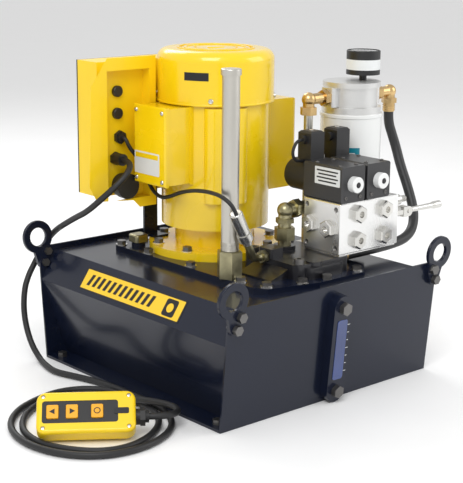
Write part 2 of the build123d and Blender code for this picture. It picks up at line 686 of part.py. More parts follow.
HINGE_X, CHEEK_R, EYE_R, HINGE_R = 216, 8, 6.5, 3
LEVER_TIP_X = 298
EYE_HALF = 3

with BuildPart() as valve_stems:
    hex_head(frame_at(BLOCK_RIGHT, STEM_Y, STEM_Z, (1, 0, 0)), 22, 10)
    hex_head(frame_at(BLOCK_RIGHT, STEM_Y, STEM_Z, (1, 0, 0)), 12.5, 34)
    block(204, HINGE_X, STEM_Y - 7, STEM_Y + 7, STEM_Z - CHEEK_R, STEM_Z + CHEEK_R)
    post(frame_at(HINGE_X, STEM_Y + 7, STEM_Z, (0, -1, 0)), CHEEK_R, 14)
    block(208, HINGE_X + 9, STEM_Y - EYE_HALF - 0.3, STEM_Y + EYE_HALF + 0.3, STEM_Z - 9, STEM_Z + 9,
          mode=Mode.SUBTRACT)
    post(frame_at(HINGE_X, STEM_Y + 8.5, STEM_Z, (0, -1, 0)), HINGE_R, 17)
    hex_head(frame_at(BLOCK_RIGHT, RELIEF_Y, RELIEF_Z, (1, 0, 0)), 24, 12)
    post(frame_at(BLOCK_RIGHT, RELIEF_Y, RELIEF_Z, (1, 0, 0)), 8.5, 60)
    hex_head(frame_at(BLOCK_RIGHT + 60, RELIEF_Y, RELIEF_Z, (1, 0, 0)), 10, 14)
save(valve_stems.part, "valve_stems")

with BuildPart() as release_lever:
    post(frame_at(HINGE_X, STEM_Y + EYE_HALF, STEM_Z, (0, -1, 0)), EYE_R, 2 * EYE_HALF)
    with BuildSketch(Plane((HINGE_X, STEM_Y, STEM_Z), x_dir=(1, 0, 0), z_dir=(0, -1, 0))):
        Polygon((0, -2.8), (0, 2.8), (20, 2.8), (20, -2.8), align=None)
    extrude(amount=2.8, both=True)
    with BuildSketch(Plane((HINGE_X, STEM_Y, STEM_Z), x_dir=(1, 0, 0), z_dir=(0, -1, 0))):
        Polygon((12, 0), (12, 4), (60, 4.6), (66, 6), (LEVER_TIP_X - HINGE_X, 6),
                (LEVER_TIP_X - HINGE_X, 0), align=None)
    revolve(axis=Axis((HINGE_X, STEM_Y, STEM_Z), (1, 0, 0)))
    fillet(release_lever.edges().group_by(Axis.X)[-1], 3)
    post(frame_at(HINGE_X, STEM_Y + 9, STEM_Z, (0, -1, 0)), HINGE_R + 0.05, 18, mode=Mode.SUBTRACT)
save(release_lever.part, "release_lever")

# ---- Transducer and its cable ----

TRANS_TOP, TRANS_FOOT = (-112, -128, 280), (-88, -124, 237)
TRANS_R = 9.5

trans_axis = Vector(TRANS_FOOT) - Vector(TRANS_TOP)
with BuildPart() as transducer_body:
    post(frame_at(*TRANS_TOP, trans_axis), TRANS_R, trans_axis.length)
    fillet(transducer_body.edges().group_by(Axis.Z)[-1], 2)
    post(frame_at(*TRANS_FOOT, trans_axis), 11, -12)
    post(frame_at(*TRANS_FOOT, trans_axis), 7, 8)
save(transducer_body.part, "transducer_body")

elbow_start = Vector(TRANS_FOOT) + trans_axis.normalized() * 8
with BuildPart() as zinc_fittings:
    add(link_pipe.part)
    add(pipe_coupling.part)
    tube([tuple(elbow_start), tuple(elbow_start + trans_axis.normalized() * 14), (-68, -116, 206),
          (-56, ELBOW_Y, ELBOW_Z), (CAST_LEFT, ELBOW_Y, ELBOW_Z)], 6)
    hex_head(frame_at(CAST_LEFT, ELBOW_Y, ELBOW_Z, (-1, 0, 0)), 17, 8)
save(zinc_fittings.part, "zinc_fittings")

GLAND_FACE_Y = 108
TRANSDUCER_CABLE = [
    (GLAND_3[0], GLAND_FACE_Y, GLAND_3[1]), (GLAND_3[0], 101, GLAND_3[1]), (-128, 100, 346), (-113, 100, 329),
    (-100, 100, 310), (-94, 98, 291), (-92, 88, 275), (-92.5, 67, 267.5), (-93.8, 44, 273),
    (-95, 18, 284), (-100, -12, 292), (-107, -40, 297.6), (-114, -70, 301.5), (-119.5, -99, 302.5),
    (-122, -119, 299),
    tuple(Vector(TRANS_TOP) - trans_axis.normalized() * 11), TRANS_TOP,
]
CABLE_R = 3

with BuildPart() as transducer_cable:
    tube(TRANSDUCER_CABLE, CABLE_R)
save(transducer_cable.part, "transducer_cable")

DIN_CABLE = [
    (55, DIN_Y, 362), (47, DIN_Y, 362), (40, DIN_Y, 355), (37, -86, 344), (42, -85, 333.5),
    (51, -84, 329.5), (62, -84, 329.5),
]

with BuildPart() as din_cable:
    tube(DIN_CABLE, 2.4)
save(din_cable.part, "din_cable")

# ---- Filter ----

ARM_Z = 414


def filter_plane(z):
    """A level plane centred on the filter's axis."""
    return Plane((FILTER_X, FILTER_Y, z))


with BuildPart() as filter_can:
    post(filter_plane(CAN_Z), CAN_R, CAN_TOP - CAN_Z)
    fillet(filter_can.edges().group_by(Axis.Z)[0], 9)
    post(filter_plane(CAN_Z + 6), CAN_R - 3, CAN_TOP - CAN_Z, mode=Mode.SUBTRACT)
save(filter_can.part, "filter_can")

with BuildPart() as filter_element:
    post(filter_plane(CAN_Z + 8), 38, 128)
    post(filter_plane(CAN_Z + 8), 14, 128, mode=Mode.SUBTRACT)
save(filter_element.part, "filter_element")

with BuildPart() as filter_head:
    post(filter_plane(CAN_TOP), 47, 10)
    post(filter_plane(CAN_TOP + 10), 41, HEAD_TOP - CAN_TOP - 18)
    post(filter_plane(HEAD_TOP - 8), 46, 8)
    block(FILTER_X - 53, FILTER_X + 42, TUBE_Y - 14, TUBE_Y + 14, ARM_Z - 15, ARM_Z + 15, corner=5)
    block(FILTER_X, FILTER_X + 53, FILTER_Y - 14, FILTER_Y + 14, ARM_Z - 15, ARM_Z + 15, corner=5)
    post(filter_plane(CAN_TOP), 12, 26, mode=Mode.SUBTRACT)
save(filter_head.part, "filter_head")

HOSE_X, HOSE_TOP = 293, 381
HOSE_END_X = 100

with BuildPart() as brass_fittings:
    post(frame_at(FILTER_X - 53, TUBE_Y, ARM_Z, (-1, 0, 0)), 8.5, FILTER_X - 53 - TUBE_X)
    hex_head(frame_at(FILTER_X - 53, TUBE_Y, ARM_Z, (-1, 0, 0)), 22, 11)
    post(frame_at(FILTER_X + 53, FILTER_Y, ARM_Z, (1, 0, 0)), 8.5, HOSE_X - FILTER_X - 53)
    hex_head(frame_at(FILTER_X + 53, FILTER_Y, ARM_Z, (1, 0, 0)), 22, 11)
    with Locations((TUBE_X, TUBE_Y, ARM_Z), (HOSE_X, FILTER_Y, ARM_Z)):
        Sphere(11)
    post(Plane((TUBE_X, TUBE_Y, TUBE_TOP)), 9, ARM_Z - TUBE_TOP)
    hex_head(Plane((TUBE_X, TUBE_Y, TUBE_TOP)), 23, 12)
    post(Plane((HOSE_X, FILTER_Y, HOSE_TOP)), 9.5, ARM_Z - HOSE_TOP)
    hex_head(Plane((HOSE_X, FILTER_Y, HOSE_TOP + 14)), 22, 8)
    post(frame_at(CAST_RIGHT, PORT_Y, PORT_Z, (1, 0, 0)), 8.9, HOSE_END_X - CAST_RIGHT)
save(brass_fittings.part, "brass_fittings")

DIAL_Y = FILTER_Y
DIAL_WELL_Z = 475
SPINDLE_R = 1.5


def dial_plane(z):
    """A level plane centred on the pressure gauge's axis."""
    return Plane((DIAL_X, DIAL_Y, z))


with BuildPart() as pressure_gauge:
    post(dial_plane(HEAD_TOP), 6, DIAL_Z - HEAD_TOP)
    post(dial_plane(DIAL_Z), DIAL_R, DIAL_TOP - DIAL_Z)
    fillet(pressure_gauge.edges().group_by(Axis.Z)[-1], 1.5)
    post(dial_plane(DIAL_WELL_Z), DIAL_R - 2.5, DIAL_TOP, mode=Mode.SUBTRACT)
    post(dial_plane(DIAL_WELL_Z), SPINDLE_R, 3)
save(pressure_gauge.part, "pressure_gauge")

with BuildPart() as gauge_needle:
    with BuildSketch(dial_plane(DIAL_WELL_Z + 1)):
        Circle(3)
        Polygon((-1.3, -6), (1.3, -6), (0.5, 19), (-0.5, 19), align=None)
        Circle(SPINDLE_R + RUNNING, mode=Mode.SUBTRACT)
    extrude(amount=1.2)
save(gauge_needle.part, "gauge_needle")

RETURN_HOSE = [
    (HOSE_X, FILTER_Y, HOSE_TOP), (HOSE_X, FILTER_Y, 364), (295, -52, 345), (298, -60, 322),
    (296, -72, 296), (295, -92, 260), (289, -112, 226), (272, -126, 202), (242, -136, 190.5),
    (200, -139, 187.5), (150, PORT_Y, PORT_Z), (HOSE_END_X, PORT_Y, PORT_Z),
]

with BuildPart() as return_hose:
    tube(RETURN_HOSE, HOSE_R)
save(return_hose.part, "return_hose")

# ---- Control box behind the motor ----

BOX_SHRINK, BOX_PIVOT = 0.6, (-76, 366)
BOX_JOIN_Y = 150
RIM = [(-166.5, 481), (-76, 481), (-76, 250), (-108, 250), (-120, 262), (-188, 268), (-201, 292),
       (-195.5, 441.5)]
REAR_X0, REAR_X1, REAR_Z0, REAR_Z1 = -150, 60, 262, 470
WALL = 4


def rim_outline(y, shrink):
    """The control box's outline at one depth, drawn in towards its inner edge."""
    points = [
        (BOX_PIVOT[0] + (x - BOX_PIVOT[0]) * shrink, BOX_PIVOT[1] + (z - BOX_PIVOT[1]) * (1 + shrink) / 2)
        for x, z in RIM
    ]
    with BuildSketch(Plane.XZ.offset(-y)) as outline:
        Polygon(*points, align=None)
    return outline.sketch


def panel_plane(x, z, y=BOX_PANEL_Y):
    """A plane on the connector panel that faces -Y."""
    return frame_at(x, y, z, (0, -1, 0))


BLANKS = [(-137, 429), (-137, 395.5)]
SOCKET = (-130, 285)

with BuildPart() as ebox_shell:
    add(loft([rim_outline(BOX_RIM_Y, 1), rim_outline(BOX_JOIN_Y + 1, BOX_SHRINK)], ruled=True))
    block(REAR_X0, REAR_X1, BOX_JOIN_Y, BOX_REAR_Y, REAR_Z0, REAR_Z1)
    fillet(ebox_shell.edges().filter_by(Axis.Y).sort_by(Axis.X)[-2:], 12)
    block(-167, -88, BOX_RIM_Y - 1, BOX_PANEL_Y, 265, 462, mode=Mode.SUBTRACT)
    block(-146, -84, BOX_PANEL_Y + WALL, 160, 284, 450, mode=Mode.SUBTRACT)
    block(REAR_X0 + WALL, REAR_X1 - WALL, BOX_JOIN_Y + WALL, BOX_REAR_Y, REAR_Z0 + WALL, REAR_Z1 - WALL,
          mode=Mode.SUBTRACT)
    for x, z in BLANKS + [GLAND_3, GLAND_4]:
        post(panel_plane(x, z), 6, -WALL, mode=Mode.SUBTRACT)
save(ebox_shell.part, "ebox_shell")

with BuildPart() as ebox_back_plate:
    block(REAR_X0, REAR_X1, BOX_REAR_Y, BOX_REAR_Y + 3, REAR_Z0, REAR_Z1)
    for x in (-110, 30):
        for z in (300, 430):
            post(frame_at(x, BOX_REAR_Y, z, (0, -1, 0)), 4, 18)
save(ebox_back_plate.part, "ebox_back_plate")

with BuildPart() as control_board:
    block(-120, 42, 180, 182, 288, 444)
    block(-100, -60, 162, 180, 320, 380)
    block(-40, -10, 166, 180, 300, 340)
    block(-30, 20, 170, 180, 360, 420)
save(control_board.part, "control_board")

with BuildPart() as blank_plugs:
    for x, z in BLANKS:
        post(panel_plane(x, z), 8.5, 6)
    chamfer(blank_plugs.edges().group_by(Axis.Y)[0], 1)
    for x, z in BLANKS:
        post(panel_plane(x, z), 6, -WALL)
GLAND_4_TIP_Y = 97
with BuildPart() as ebox_connectors:
    add(blank_plugs.part)
    for place, tip, dome in ((GLAND_3, GLAND_FACE_Y, 7), (GLAND_4, GLAND_4_TIP_Y, 9)):
        hex_head(panel_plane(*place), 18, 6)
        post(panel_plane(*place), dome, BOX_PANEL_Y - tip)
        post(panel_plane(*place), 6, -WALL)
    post(panel_plane(*SOCKET), 18, 8)
    post(panel_plane(*SOCKET, BOX_PANEL_Y - 8), 19.5, 12)
save(ebox_connectors.part, "ebox_connectors")

BRACKET_LEFT, BRACKET_RIGHT, BRACKET_TOP = -64, -38, 330

with BuildPart() as ebox_bracket:
    block(BRACKET_LEFT, BRACKET_RIGHT, 118, BOX_JOIN_Y, FLANGE_TOP, FLANGE_TOP + TRAY_THICK)
    block(BRACKET_LEFT, BRACKET_RIGHT, 146, BOX_JOIN_Y, FLANGE_TOP, BRACKET_TOP)
save(ebox_bracket.part, "ebox_bracket")

# ---- Breather cap on the cover ----

with BuildPart() as breather_cap:
    with BuildSketch(Plane((*BREATHER, COVER_Z + 6.2))):
        RectangleRounded(25, 25, 6)
    extrude(amount=12)
    fillet(breather_cap.edges().group_by(Axis.Z)[-1], 3)
save(breather_cap.part, "breather_cap")

# ---- Pendant ----

turn = math.radians(PENDANT_TURN)
lean = math.radians(PENDANT_LEAN)
LONG_AXIS = Vector(math.cos(turn), -math.sin(turn), 0)
FACE_OUT = Vector(-math.sin(turn) * math.sin(lean), -math.cos(turn) * math.sin(lean), math.cos(lean))


def pendant_plane(along, across, out):
    """A plane at a place on the pendant, parallel to its face."""
    face = Plane(origin=PENDANT_CENTRE, x_dir=LONG_AXIS, z_dir=FACE_OUT)
    return face.shift_origin(face.from_local_coords((along, across, 0))).offset(out)


SHELL_SPLIT, SHELL_WALL_END = -16, -22
KEYPAD_ALONG, KEYPAD_LONG, KEYPAD_WIDE, KEYPAD_DEEP = -8, 101, 33, 2
SCREW_PLACES = [(sx * 57, sy * 23) for sx in (-1, 1) for sy in (-1, 1)]
GLAND_OUT, PENDANT_GLAND_LONG = -20, 18



def face_edges(part, out):
    """The edges of the outermost flat face that looks along a direction."""
    flats = part.faces().filter_by(lambda face: face.normal_at().dot(out) > 0.999)
    return flats.sort_by(lambda face: face.center().dot(out))[-1].edges()


with BuildPart() as pendant_upper:
    with BuildSketch(pendant_plane(0, 0, SHELL_SPLIT)):
        RectangleRounded(PENDANT_LONG, PENDANT_WIDE, 13)
    extrude(amount=-SHELL_SPLIT)
    fillet(face_edges(pendant_upper, FACE_OUT), 5)
    with BuildSketch(pendant_plane(KEYPAD_ALONG, 0, -KEYPAD_DEEP)):
        RectangleRounded(KEYPAD_LONG, KEYPAD_WIDE, 4)
    extrude(amount=KEYPAD_DEEP + 1, mode=Mode.SUBTRACT)
    for along in BUTTON_PLACES:
        with BuildSketch(pendant_plane(along, 0, -8)):
            RectangleRounded(BUTTON_LONG + 0.8, BUTTON_WIDE + 0.8, 2.4)
        extrude(amount=9, mode=Mode.SUBTRACT)
    for along, across in SCREW_PLACES:
        post(pendant_plane(along, across, -2), 3, 4, mode=Mode.SUBTRACT)
save(pendant_upper.part, "pendant_upper")

with BuildPart() as pendant_lower:
    with BuildSketch(pendant_plane(0, 0, SHELL_WALL_END)):
        RectangleRounded(PENDANT_LONG, PENDANT_WIDE, 13)
    extrude(amount=SHELL_SPLIT - SHELL_WALL_END)
    with BuildSketch(pendant_plane(0, 0, SHELL_WALL_END)):
        RectangleRounded(PENDANT_LONG, PENDANT_WIDE, 13)
    extrude(amount=-(PENDANT_DEEP + SHELL_WALL_END), taper=36)
    with BuildSketch(pendant_plane(0, 0, SHELL_WALL_END - 8)):
        RectangleRounded(PENDANT_LONG - 28, PENDANT_WIDE - 22, 8)
    extrude(amount=SHELL_SPLIT - SHELL_WALL_END + 8, mode=Mode.SUBTRACT)
save(pendant_lower.part, "pendant_lower")

with BuildPart() as pendant_keypad:
    with BuildSketch(pendant_plane(KEYPAD_ALONG, 0, -KEYPAD_DEEP)):
        RectangleRounded(KEYPAD_LONG, KEYPAD_WIDE, 4)
        for along in BUTTON_PLACES:
            with Locations((along - KEYPAD_ALONG, 0)):
                RectangleRounded(BUTTON_LONG + 0.8, BUTTON_WIDE + 0.8, 2.4, mode=Mode.SUBTRACT)
    extrude(amount=KEYPAD_DEEP - 0.6)
save(pendant_keypad.part, "pendant_keypad")

for along, name in zip(BUTTON_PLACES, ("advance_button", "retract_button", "stop_button")):
    with BuildPart() as button:
        with BuildSketch(pendant_plane(along, 0, -5)):
            RectangleRounded(BUTTON_LONG, BUTTON_WIDE, 2)
        extrude(amount=7)
        fillet(face_edges(button, FACE_OUT), 1)
    save(button.part, name)

gland_root = pendant_plane(PENDANT_LONG / 2, 0, GLAND_OUT).origin
gland_tip = gland_root + LONG_AXIS * PENDANT_GLAND_LONG
print("pendant gland tip", gland_tip)

with BuildPart() as pendant_gland:
    post(frame_at(*gland_root, LONG_AXIS), 11, 6)
    post(frame_at(*gland_root, LONG_AXIS), 8, PENDANT_GLAND_LONG)
    hex_head(frame_at(*(gland_root + LONG_AXIS * 6), LONG_AXIS), 22, 7)
save(pendant_gland.part, "pendant_gland")

# ---- Pendant cord: hangs from the control box, lies in loose turns and ends at the pendant ----

FLOOR_Z = CORD_R + 0.3
PENDANT_CORD = [
    (GLAND_4[0], GLAND_4_TIP_Y, GLAND_4[1]), (GLAND_4[0], 78, GLAND_4[1]), (-156, 63, 315),
    (-177, 65, 297), (-193, 83, 275), (-198, 113, 252), (-194, 150, 236), (-189, 190, 217), (-176, 227, 202),
    (-177, 249, 185), (-188, 257, 163), (-200, 257, 145), (-215, 254, 126), (-226, 250, 104),
    (-231, 245, 65.5), (-233, 225, 26.5), (-234, 196, FLOOR_Z), (-243, 165, FLOOR_Z),
    (-249, 132, FLOOR_Z), (-238, 98, FLOOR_Z), (-228, 66, FLOOR_Z), (-221, 28, FLOOR_Z),
    (-218.5, -14, FLOOR_Z), (-218.5, -60, FLOOR_Z), (-222, -108, FLOOR_Z), (-242, -150, FLOOR_Z),
    (-278, -180, FLOOR_Z), (-328, -194, FLOOR_Z), (-380, -184, FLOOR_Z), (-417, -149, FLOOR_Z),
    (-435, -101, FLOOR_Z), (-434, -52, FLOOR_Z), (-416, -7, FLOOR_Z), (-381, 29, FLOOR_Z),
    (-341, 47, FLOOR_Z),
    (-298, 57, FLOOR_Z), (-258, 44, FLOOR_Z), (-234, 14, FLOOR_Z), (-230, -26, FLOOR_Z),
    (-231, -70, FLOOR_Z), (-239, -112, FLOOR_Z), (-264, -146, FLOOR_Z), (-300, -170, FLOOR_Z),
    (-342, -180, FLOOR_Z), (-378, -168, FLOOR_Z), (-405, -136, FLOOR_Z), (-422, -98, FLOOR_Z),
    (-419, -48, FLOOR_Z), (-396, -8, FLOOR_Z), (-366, 20, FLOOR_Z),
    (-330, 36, FLOOR_Z), (-290, 36, FLOOR_Z), (-260, 17, FLOOR_Z), (-246, -15, 6), (-243, -48, 10),
    (-240, -72, 16.5), (-233, -97, 18.5), (-227, -118, 19.5), (-229, -141, 21), (-242, -161, 24),
    tuple(gland_tip + LONG_AXIS * 25), tuple(gland_tip),
]

with BuildPart() as pendant_cord:
    tube(PENDANT_CORD, CORD_R)
save(pendant_cord.part, "pendant_cord")

print(len(written), "pieces")
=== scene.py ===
import math

import bmesh
import bpy
from mathutils import Matrix, Vector


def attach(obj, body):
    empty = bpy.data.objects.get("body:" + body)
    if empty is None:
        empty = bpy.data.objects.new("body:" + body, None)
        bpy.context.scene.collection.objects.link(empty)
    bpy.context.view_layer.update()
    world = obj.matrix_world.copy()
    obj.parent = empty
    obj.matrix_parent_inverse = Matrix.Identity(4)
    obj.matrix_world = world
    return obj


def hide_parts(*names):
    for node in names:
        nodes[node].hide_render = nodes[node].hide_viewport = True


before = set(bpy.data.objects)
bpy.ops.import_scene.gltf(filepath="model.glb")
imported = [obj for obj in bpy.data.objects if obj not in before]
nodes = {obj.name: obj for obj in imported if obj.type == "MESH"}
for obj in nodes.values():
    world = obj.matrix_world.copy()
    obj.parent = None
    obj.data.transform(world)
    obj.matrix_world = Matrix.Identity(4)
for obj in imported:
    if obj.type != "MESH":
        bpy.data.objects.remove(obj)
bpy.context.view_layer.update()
MM = 0.001

# ---- Camera ----

CAMERA_PLACE = Vector((-1.3033, -1.4815, 0.6789))
CAMERA_AZIMUTH, CAMERA_ELEVATION, CAMERA_ROLL = map(math.radians, (-42.42, 13.6, 0.8))
CAMERA_LENS, CAMERA_SHIFT = 97.6, (-0.057, -0.005)


def make_camera():
    """A camera that looks at the unit from its front left corner, a little above it."""
    turn, rise, roll = CAMERA_AZIMUTH, CAMERA_ELEVATION, CAMERA_ROLL
    right = Vector((math.cos(turn), math.sin(turn), 0))
    back = Vector((math.sin(turn) * math.cos(rise), -math.cos(turn) * math.cos(rise),
                   math.sin(rise)))
    up = back.cross(right)
    right, up = (right * math.cos(roll) + up * math.sin(roll),
                 up * math.cos(roll) - right * math.sin(roll))
    data = bpy.data.cameras.new("camera")
    data.lens = CAMERA_LENS
    data.shift_x, data.shift_y = CAMERA_SHIFT
    data.clip_end = 20
    camera = bpy.data.objects.new("camera", data)
    bpy.context.collection.objects.link(camera)
    turned_to = Matrix((right, up, back)).transposed().to_4x4()
    camera.matrix_world = Matrix.Translation(CAMERA_PLACE) @ turned_to
    bpy.context.scene.camera = camera


make_camera()

# ---- Cords: the routes repeat the CAD model's, in millimetres here and metres in the scene ----

CORD_R, HOSE_R, CABLE_R, DIN_R = 4.7, 8.0, 3.0, 2.4
FLOOR_Z = CORD_R + 0.3
GLAND_TIP = Vector((-286.176, -152.547, 26.437))
LONG_AXIS = Vector((math.cos(math.radians(36)), -math.sin(math.radians(36)), 0))
TRANS_TOP, TRANS_FOOT = Vector((-112, -128, 280)), Vector((-88, -124, 237))
TRANS_AXIS = (TRANS_FOOT - TRANS_TOP).normalized()

PENDANT_CORD = [
    (-141, 97, 327), (-141, 78, 327), (-156, 63, 315), (-177, 65, 297), (-193, 83, 275),
    (-198, 113, 252), (-194, 150, 236), (-189, 190, 217), (-176, 227, 202),
    (-177, 249, 185), (-188, 257, 163), (-200, 257, 145), (-215, 254, 126), (-226, 250, 104),
    (-231, 245, 65.5), (-233, 225, 26.5), (-234, 196, FLOOR_Z), (-243, 165, FLOOR_Z),
    (-249, 132, FLOOR_Z), (-238, 98, FLOOR_Z), (-228, 66, FLOOR_Z), (-221, 28, FLOOR_Z),
    (-218.5, -14, FLOOR_Z), (-218.5, -60, FLOOR_Z), (-222, -108, FLOOR_Z), (-242, -150, FLOOR_Z),
    (-278, -180, FLOOR_Z), (-328, -194, FLOOR_Z), (-380, -184, FLOOR_Z), (-417, -149, FLOOR_Z),
    (-435, -101, FLOOR_Z), (-434, -52, FLOOR_Z), (-416, -7, FLOOR_Z), (-381, 29, FLOOR_Z),
    (-341, 47, FLOOR_Z),
    (-298, 57, FLOOR_Z), (-258, 44, FLOOR_Z), (-234, 14, FLOOR_Z), (-230, -26, FLOOR_Z),
    (-231, -70, FLOOR_Z), (-239, -112, FLOOR_Z), (-264, -146, FLOOR_Z), (-300, -170, FLOOR_Z),
    (-342, -180, FLOOR_Z), (-378, -168, FLOOR_Z), (-405, -136, FLOOR_Z), (-422, -98, FLOOR_Z),
    (-419, -48, FLOOR_Z), (-396, -8, FLOOR_Z), (-366, 20, FLOOR_Z),
    (-330, 36, FLOOR_Z), (-290, 36, FLOOR_Z), (-260, 17, FLOOR_Z), (-246, -15, 6), (-243, -48, 10),
    (-240, -72, 16.5), (-233, -97, 18.5), (-227, -118, 19.5), (-229, -141, 21), (-242, -161, 24),
    tuple(GLAND_TIP + LONG_AXIS * 25), tuple(GLAND_TIP),
]
RETURN_HOSE = [
    (293, -45, 381), (293, -45, 364), (295, -52, 345), (298, -60, 322), (296, -72, 296),
    (295, -92, 260), (289, -112, 226), (272, -126, 202), (242, -136, 190.5), (200, -139, 187.5),
    (150, -140, 187), (100, -140, 187),
]
TRANSDUCER_CABLE = [
    (-133, 108, 359), (-133, 101, 359), (-128, 100, 346), (-113, 100, 329), (-100, 100, 310),
    (-94, 98, 291), (-92, 88, 275), (-92.5, 67, 267.5), (-93.8, 44, 273), (-95, 18, 284),
    (-100, -12, 292), (-107, -40, 297.6), (-114, -70, 301.5), (-119.5, -99, 302.5),
    (-122, -119, 299), tuple(TRANS_TOP - TRANS_AXIS * 11), tuple(TRANS_TOP),
]
DIN_CABLE = [
    (55, -87, 362), (47, -87, 362), (40, -87, 355), (37, -86, 344), (42, -85, 333.5),
    (51, -84, 329.5), (62, -84, 329.5),
]


def line_length(curve):
    """The length of a curve's own line, in metres."""
    bare = curve.copy()
    bare.data = curve.data.copy()
    bare.data.bevel_depth = 0
    mesh = bpy.data.meshes.new_from_object(bare)
    length = sum((mesh.vertices[e.vertices[0]].co - mesh.vertices[e.vertices[1]].co).length
                 for e in mesh.edges)
    bpy.data.objects.remove(bare)
    return length


def make_cord(name, route, radius, node):
    """A smooth round cord along a route, which stands for its CAD node.

    The points carry the radius, so that the curve's box fits its tube.
    """
    data = bpy.data.curves.new(name, "CURVE")
    data.dimensions = "3D"
    data.resolution_u = 10
    data.bevel_depth = 1
    data.bevel_resolution = 6
    data.use_fill_caps = True
    spline = data.splines.new("NURBS")
    spline.points.add(len(route) - 1)
    for point, place in zip(spline.points, route):
        point.co = (*(Vector(place) * MM), 1)
        point.radius = radius * MM
    spline.order_u = 3
    spline.use_endpoint_u = True
    cord = bpy.data.objects.new(name, data)
    bpy.context.collection.objects.link(cord)
    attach(cord, "root")
    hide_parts(node)
    return cord


pendant_cord = make_cord("pendant_cord_line", PENDANT_CORD, CORD_R, "pendant_cord")
hose = make_cord("return_hose_line", RETURN_HOSE, HOSE_R, "return_hose")
cable = make_cord("transducer_cable_line", TRANSDUCER_CABLE, CABLE_R, "transducer_cable")
din_cable = make_cord("din_cable_line", DIN_CABLE, DIN_R, "din_cable")
line_length(pendant_cord)

# ---- Materials ----


def material(name, color, roughness, metallic=0.0, coat=0.0, tone=0.08, tone_scale=9.0,
             grain=0.02, grain_scale=500.0, stretch=(1, 1, 1), transmission=0.0, specular=0.5):
    """A shader with a slow change of tone and roughness over the surface, and a fine grain."""
    made = bpy.data.materials.new(name)
    made.use_nodes = True
    tree = made.node_tree
    shader = tree.nodes["Principled BSDF"]
    shader.inputs["Metallic"].default_value = metallic
    shader.inputs["Coat Weight"].default_value = coat
    shader.inputs["Coat Roughness"].default_value = 0.08
    shader.inputs["Specular IOR Level"].default_value = specular
    shader.inputs["Transmission Weight"].default_value = transmission
    place = tree.nodes.new("ShaderNodeTexCoord")
    spread = tree.nodes.new("ShaderNodeMapping")
    spread.inputs["Scale"].default_value = stretch
    tree.links.new(place.outputs["Object"], spread.inputs["Vector"])
    slow = tree.nodes.new("ShaderNodeTexNoise")
    slow.inputs["Scale"].default_value = tone_scale
    slow.inputs["Detail"].default_value = 5
    tree.links.new(spread.outputs["Vector"], slow.inputs["Vector"])
    ramp = tree.nodes.new("ShaderNodeValToRGB")
    ramp.color_ramp.elements[0].position = 0.3
    ramp.color_ramp.elements[1].position = 0.7
    ramp.color_ramp.elements[0].color = (*[c * (1 - tone) for c in color], 1)
    ramp.color_ramp.elements[1].color = (*[min(1, c * (1 + tone)) for c in color], 1)
    tree.links.new(slow.outputs["Fac"], ramp.inputs["Fac"])
    tree.links.new(ramp.outputs["Color"], shader.inputs["Base Color"])
    gloss = tree.nodes.new("ShaderNodeMapRange")
    gloss.inputs["To Min"].default_value = roughness * 0.8
    gloss.inputs["To Max"].default_value = min(1, roughness * 1.25)
    tree.links.new(slow.outputs["Fac"], gloss.inputs["Value"])
    tree.links.new(gloss.outputs["Result"], shader.inputs["Roughness"])
    fine = tree.nodes.new("ShaderNodeTexNoise")
    fine.inputs["Scale"].default_value = grain_scale
    fine.inputs["Detail"].default_value = 2
    tree.links.new(spread.outputs["Vector"], fine.inputs["Vector"])
    bump = tree.nodes.new("ShaderNodeBump")
    bump.inputs["Strength"].default_value = 0.35
    bump.inputs["Distance"].default_value = grain * MM
    tree.links.new(fine.outputs["Fac"], bump.inputs["Height"])
    tree.links.new(bump.outputs["Normal"], shader.inputs["Normal"])
    return made


BLACK_ENAMEL = material("black_enamel", (0.006, 0.009, 0.022), 0.22, coat=0.2, grain=0.06,
                        grain_scale=160, specular=0.3)
CAST_BLACK = material("cast_black", (0.008, 0.008, 0.011), 0.34, coat=0.3, grain=0.4,
                      grain_scale=260)
YELLOW_ENAMEL = material("yellow_enamel", (0.90, 0.62, 0.003), 0.26, coat=0.6, tone=0.05,
                         grain=0.08, grain_scale=140)
YELLOW_PLASTIC = material("yellow_plastic", (0.92, 0.63, 0.004), 0.36, coat=0.2, tone=0.04,
                          grain=0.05, grain_scale=900)
BLACK_PLASTIC = material("black_plastic", (0.012, 0.012, 0.013), 0.42, grain=0.08, grain_scale=1100)
RUBBER = material("rubber", (0.013, 0.013, 0.014), 0.5, grain=0.1, grain_scale=1300, tone=0.15)
HOSE_COVER = material("hose_cover", (0.016, 0.016, 0.017), 0.45, grain=0.15, grain_scale=700)
BRIGHT_STEEL = material("bright_steel", (0.66, 0.65, 0.62), 0.24, metallic=1, tone=0.12, grain=0.03,
                        grain_scale=800)
PIPE_STEEL = material("pipe_steel", (0.60, 0.58, 0.53), 0.36, metallic=1, tone=0.16, tone_scale=22,
                      grain=0.12, grain_scale=420, stretch=(1, 1, 0.12))
DARK_BOLT = material("dark_bolt", (0.16, 0.155, 0.15), 0.34, metallic=0.9, tone=0.3, grain=0.05)
ALUMINIUM = material("aluminium", (0.84, 0.84, 0.83), 0.27, metallic=0.9, tone=0.05, grain=0.06,
                     grain_scale=900, stretch=(1, 1, 0.06))
CAST_ALUMINIUM = material("cast_aluminium", (0.70, 0.70, 0.69), 0.38, metallic=0.85, tone=0.08,
                          grain=0.5, grain_scale=420)
OLIVE_ZINC = material("olive_zinc", (0.36, 0.33, 0.20), 0.3, metallic=0.95, tone=0.25,
                      tone_scale=60, grain=0.05)
BRASS = material("brass", (0.62, 0.43, 0.20), 0.28, metallic=1, tone=0.18, tone_scale=50,
                 grain=0.05)
VALVE_IRON = material("valve_iron", (0.022, 0.022, 0.024), 0.4, coat=0.15, grain=0.25,
                      grain_scale=500)
WHITE_GLOSS = material("white_gloss", (0.80, 0.81, 0.80), 0.22, coat=0.5, tone=0.02, grain=0.02)
